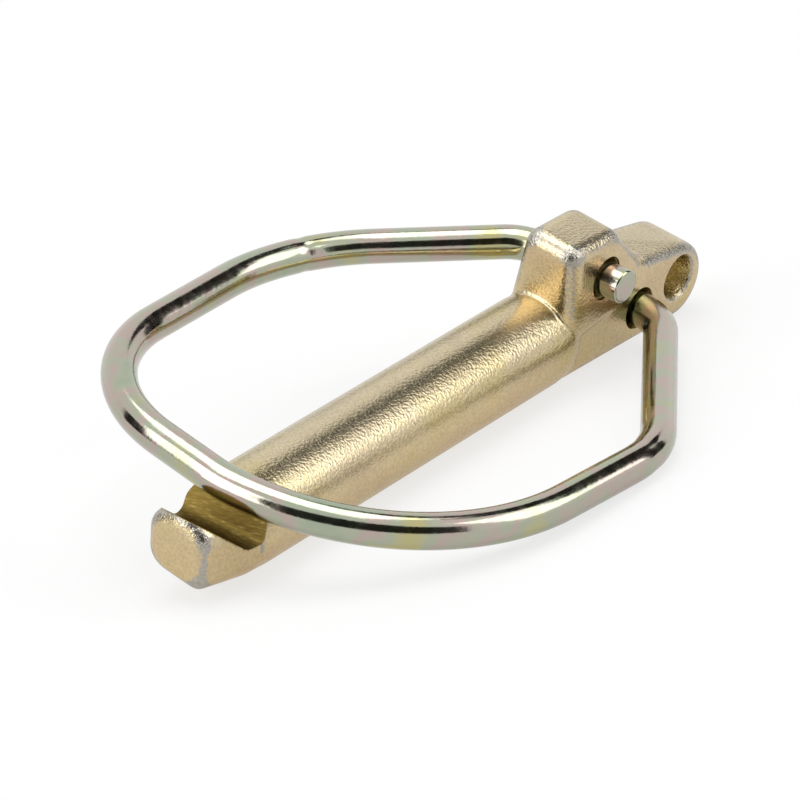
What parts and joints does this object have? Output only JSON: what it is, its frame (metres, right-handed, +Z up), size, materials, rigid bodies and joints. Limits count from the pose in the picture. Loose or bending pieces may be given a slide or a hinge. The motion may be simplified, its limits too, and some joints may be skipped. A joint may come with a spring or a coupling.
{
  "type": "lynch pin",
  "caption": "Forged lynch pin with a drafted head, a round eye and a notched tip, locked by a bent spring wire ring that swings over the shank.",
  "frame": {"origin": "middle of the grip, on the axis of the round shank", "axes": "+X along the shank towards the head and eye, +Z up as the pin lies on a flat surface, +Y to the rear; the pin leans 18 degrees about X on to one side of its ring"},
  "size_m": [0.0879, 0.0531, 0.0204],
  "materials": {
    "forged_steel": "steel forging, tumbled and zinc plated with a thin yellow passivation",
    "spring_wire": "drawn spring wire, bright zinc plated"
  },
  "bodies": {
    "pin": {"pin_body": "forged_steel"},
    "ring": {"ring": "spring_wire"}
  },
  "joints": [
    {"name": "ring_swing", "type": "hinge", "parent": "pin", "child": "ring", "pos_m": [0.0361, -0.00088, 0.00339], "axis": [0, 0.968, 0.251], "range_deg": [0, 180], "deforming": ["ring"]}
  ]
}
